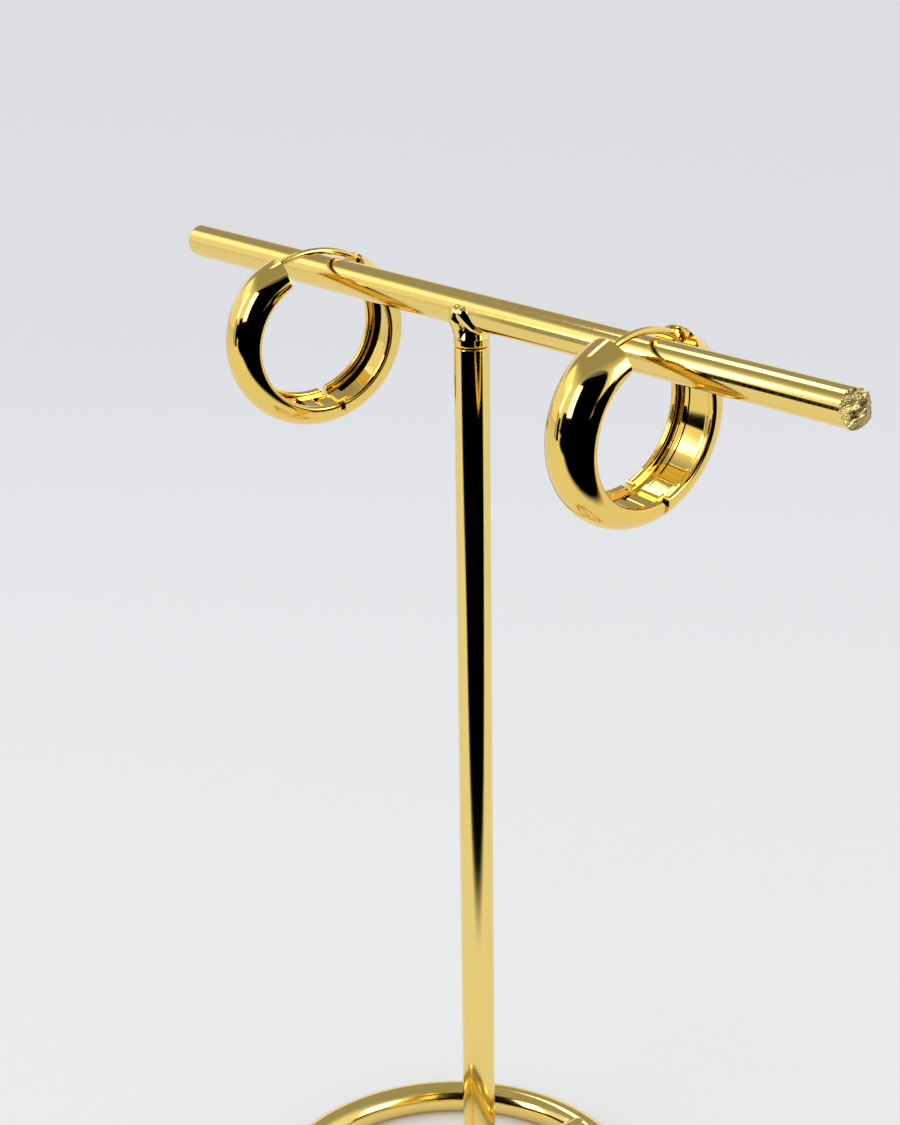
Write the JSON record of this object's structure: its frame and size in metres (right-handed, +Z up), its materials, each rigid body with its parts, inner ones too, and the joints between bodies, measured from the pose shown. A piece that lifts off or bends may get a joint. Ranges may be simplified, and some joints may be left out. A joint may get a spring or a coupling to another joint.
{
  "type": "pair of hinged hoop earrings on t-bar display stand",
  "caption": "Polished gold-coloured hinged hoop earrings, half-round band with a recessed inner channel, hanging by their ear wires on a T-bar stand with a wire ring base.",
  "frame": {"origin": "on the surface that the stand stands on, under the middle of the bar and level with the middle of the ring", "axes": "+Z up along the post, +X along the bar towards its roughly cut end, +Y towards the hinged halves of the earrings"},
  "size_m": [0.1066, 0.0496, 0.1204],
  "materials": {
    "stand_gold": "drawn rod, bright gold-coloured plating",
    "bar_gold": "drawn bar with fine lengthwise lines, gold-coloured plating",
    "earring_gold": "mirror-polished gold plating",
    "pin_gold": "plain wire, gold-coloured"
  },
  "bodies": {
    "stand": {"ring_base": "stand_gold", "post": "stand_gold", "t_bar": "bar_gold", "left_front_half": "earring_gold", "left_hinge_pin": "pin_gold", "right_front_half": "earring_gold", "right_hinge_pin": "pin_gold"},
    "left_back": {"left_back_half": "earring_gold"},
    "right_back": {"right_back_half": "earring_gold"}
  },
  "joints": [
    {"name": "left_hinge", "type": "hinge", "parent": "stand", "child": "left_back", "pos_m": [-0.02774, 0.00412, 0.10028], "axis": [-0.9748, 0.2037, 0.0906], "range_deg": [0, 45]},
    {"name": "right_hinge", "type": "hinge", "parent": "stand", "child": "right_back", "pos_m": [0.02526, 0.00436, 0.10066], "axis": [-0.9966, 0.0035, 0.0819], "range_deg": [0, 45]}
  ]
}
